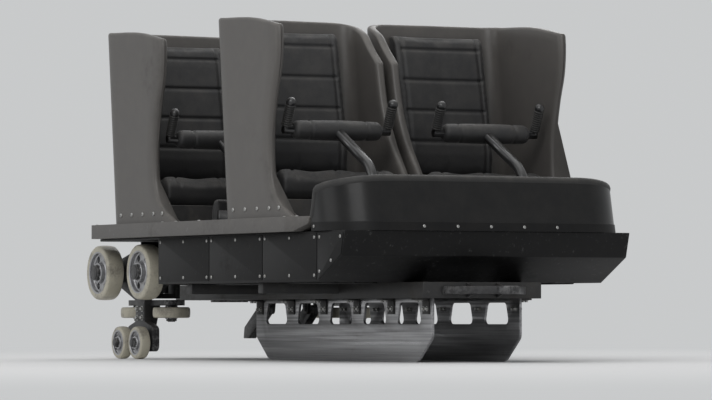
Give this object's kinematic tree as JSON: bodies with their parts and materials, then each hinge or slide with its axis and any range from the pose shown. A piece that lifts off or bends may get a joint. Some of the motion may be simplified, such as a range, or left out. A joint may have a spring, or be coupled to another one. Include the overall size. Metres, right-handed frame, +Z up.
{
  "type": "roller coaster car",
  "caption": "Open two-row coaster car with bucket seats, T-shaped lap bars, steered wheel carriers, brake fins and couplings at both ends.",
  "frame": {"origin": "on the floor under the centre of the bounding box, level with the lowest points of the up-stop wheels", "axes": "+X forward in the direction of travel, +Y to the riders' left, +Z up"},
  "size_m": [2.44, 1.3, 1.305],
  "materials": {
    "grey_shell": "satin warm-grey paint on moulded glass fibre",
    "grey_steel": "satin warm-grey paint",
    "black_panel": "satin black paint",
    "black_steel": "satin black paint, dusty",
    "cast_steel": "dark grey paint, oily",
    "bare_steel": "bare steel, scored by the brakes",
    "bar_paint": "satin black powder coat",
    "black_foam": "self-skinned black foam, fine grain",
    "wheel": "pale polyurethane tread on a turned aluminium hub"
  },
  "bodies": {
    "car_body": {"frame": "black_steel", "axle_beam": "black_steel", "tub": "black_panel", "sill_left": "grey_steel", "sill_right": "grey_steel", "front_cowl": "black_panel", "seat_base_rear": "black_steel", "seat_base_front": "black_steel", "seat_shell_rear_left": "grey_shell", "seat_shell_rear_right": "grey_shell", "seat_shell_front_left": "grey_shell", "seat_shell_front_right": "grey_shell", "seat_pad_rear_left": "black_foam", "seat_pad_rear_right": "black_foam", "seat_pad_front_left": "black_foam", "seat_pad_front_right": "black_foam", "bar_pedestal_rear": "black_steel", "bar_pedestal_front": "black_steel", "drawbar": "cast_steel", "rear_coupling": "cast_steel", "brake_fins": "bare_steel"},
    "carrier_left_body": {"carrier_left": "cast_steel"},
    "carrier_right_body": {"carrier_right": "cast_steel"},
    "chain_dog_body": {"chain_dog": "cast_steel"},
    "rollback_dog_body": {"rollback_dog": "cast_steel"},
    "road_wheel_left_front_body": {"road_wheel_left_front": "wheel"},
    "guide_wheel_left_front_body": {"guide_wheel_left_front": "wheel"},
    "up_stop_left_front_body": {"up_stop_left_front": "wheel"},
    "road_wheel_left_rear_body": {"road_wheel_left_rear": "wheel"},
    "guide_wheel_left_rear_body": {"guide_wheel_left_rear": "wheel"},
    "up_stop_left_rear_body": {"up_stop_left_rear": "wheel"},
    "road_wheel_right_front_body": {"road_wheel_right_front": "wheel"},
    "guide_wheel_right_front_body": {"guide_wheel_right_front": "wheel"},
    "up_stop_right_front_body": {"up_stop_right_front": "wheel"},
    "road_wheel_right_rear_body": {"road_wheel_right_rear": "wheel"},
    "guide_wheel_right_rear_body": {"guide_wheel_right_rear": "wheel"},
    "up_stop_right_rear_body": {"up_stop_right_rear": "wheel"},
    "lap_bar_rear_left_body": {"lap_bar_rear_left": "bar_paint", "lap_pad_rear_left": "black_foam"},
    "lap_bar_rear_right_body": {"lap_bar_rear_right": "bar_paint", "lap_pad_rear_right": "black_foam"},
    "lap_bar_front_left_body": {"lap_bar_front_left": "bar_paint", "lap_pad_front_left": "black_foam"},
    "lap_bar_front_right_body": {"lap_bar_front_right": "bar_paint", "lap_pad_front_right": "black_foam"}
  },
  "joints": [
    {"name": "steer_left", "type": "hinge", "parent": "car_body", "child": "carrier_left_body", "pos_m": [-0.91, 0.415, 0.326], "axis": [0, 0, 1], "range_deg": [-8, 8]},
    {"name": "road_wheel_left_front_spin", "type": "hinge", "parent": "carrier_left_body", "child": "road_wheel_left_front_body", "pos_m": [-0.72, 0.56, 0.345], "axis": [0, 1, 0], "continuous": true},
    {"name": "guide_wheel_left_front_spin", "type": "hinge", "parent": "carrier_left_body", "child": "guide_wheel_left_front_body", "pos_m": [-0.76, 0.427, 0.185], "axis": [0, 0, 1], "continuous": true},
    {"name": "up_stop_left_front_spin", "type": "hinge", "parent": "carrier_left_body", "child": "up_stop_left_front_body", "pos_m": [-0.83, 0.535, 0.065], "axis": [0, 1, 0], "continuous": true},
    {"name": "road_wheel_left_rear_spin", "type": "hinge", "parent": "carrier_left_body", "child": "road_wheel_left_rear_body", "pos_m": [-1.1, 0.56, 0.345], "axis": [0, 1, 0], "continuous": true},
    {"name": "guide_wheel_left_rear_spin", "type": "hinge", "parent": "carrier_left_body", "child": "guide_wheel_left_rear_body", "pos_m": [-1.06, 0.427, 0.185], "axis": [0, 0, 1], "continuous": true},
    {"name": "up_stop_left_rear_spin", "type": "hinge", "parent": "carrier_left_body", "child": "up_stop_left_rear_body", "pos_m": [-0.99, 0.535, 0.065], "axis": [0, 1, 0], "continuous": true},
    {"name": "steer_right", "type": "hinge", "parent": "car_body", "child": "carrier_right_body", "pos_m": [-0.91, -0.415, 0.326], "axis": [0, 0, 1], "range_deg": [-8, 8]},
    {"name": "road_wheel_right_front_spin", "type": "hinge", "parent": "carrier_right_body", "child": "road_wheel_right_front_body", "pos_m": [-0.72, -0.56, 0.345], "axis": [0, 1, 0], "continuous": true},
    {"name": "guide_wheel_right_front_spin", "type": "hinge", "parent": "carrier_right_body", "child": "guide_wheel_right_front_body", "pos_m": [-0.76, -0.427, 0.185], "axis": [0, 0, 1], "continuous": true},
    {"name": "up_stop_right_front_spin", "type": "hinge", "parent": "carrier_right_body", "child": "up_stop_right_front_body", "pos_m": [-0.83, -0.535, 0.065], "axis": [0, 1, 0], "continuous": true},
    {"name": "road_wheel_right_rear_spin", "type": "hinge", "parent": "carrier_right_body", "child": "road_wheel_right_rear_body", "pos_m": [-1.1, -0.56, 0.345], "axis": [0, 1, 0], "continuous": true},
    {"name": "guide_wheel_right_rear_spin", "type": "hinge", "parent": "carrier_right_body", "child": "guide_wheel_right_rear_body", "pos_m": [-1.06, -0.427, 0.185], "axis": [0, 0, 1], "continuous": true},
    {"name": "up_stop_right_rear_spin", "type": "hinge", "parent": "carrier_right_body", "child": "up_stop_right_rear_body", "pos_m": [-0.99, -0.535, 0.065], "axis": [0, 1, 0], "continuous": true},
    {"name": "lap_bar_rear_left_swing", "type": "hinge", "parent": "car_body", "child": "lap_bar_rear_left_body", "pos_m": [-0.25, 0.32, 0.355], "axis": [0, 1, 0], "range_deg": [0, 30]},
    {"name": "lap_bar_rear_right_swing", "type": "hinge", "parent": "car_body", "child": "lap_bar_rear_right_body", "pos_m": [-0.25, -0.32, 0.355], "axis": [0, 1, 0], "range_deg": [0, 30]},
    {"name": "lap_bar_front_left_swing", "type": "hinge", "parent": "car_body", "child": "lap_bar_front_left_body", "pos_m": [0.75, 0.32, 0.355], "axis": [0, 1, 0], "range_deg": [0, 30]},
    {"name": "lap_bar_front_right_swing", "type": "hinge", "parent": "car_body", "child": "lap_bar_front_right_body", "pos_m": [0.75, -0.32, 0.355], "axis": [0, 1, 0], "range_deg": [0, 30]},
    {"name": "chain_dog_swing", "type": "hinge", "parent": "car_body", "child": "chain_dog_body", "pos_m": [-0.37, 0, 0.201], "axis": [0, 1, 0], "range_deg": [0, 30]},
    {"name": "rollback_dog_swing", "type": "hinge", "parent": "car_body", "child": "rollback_dog_body", "pos_m": [-0.77, 0, 0.201], "axis": [0, 1, 0], "range_deg": [0, 30]}
  ]
}
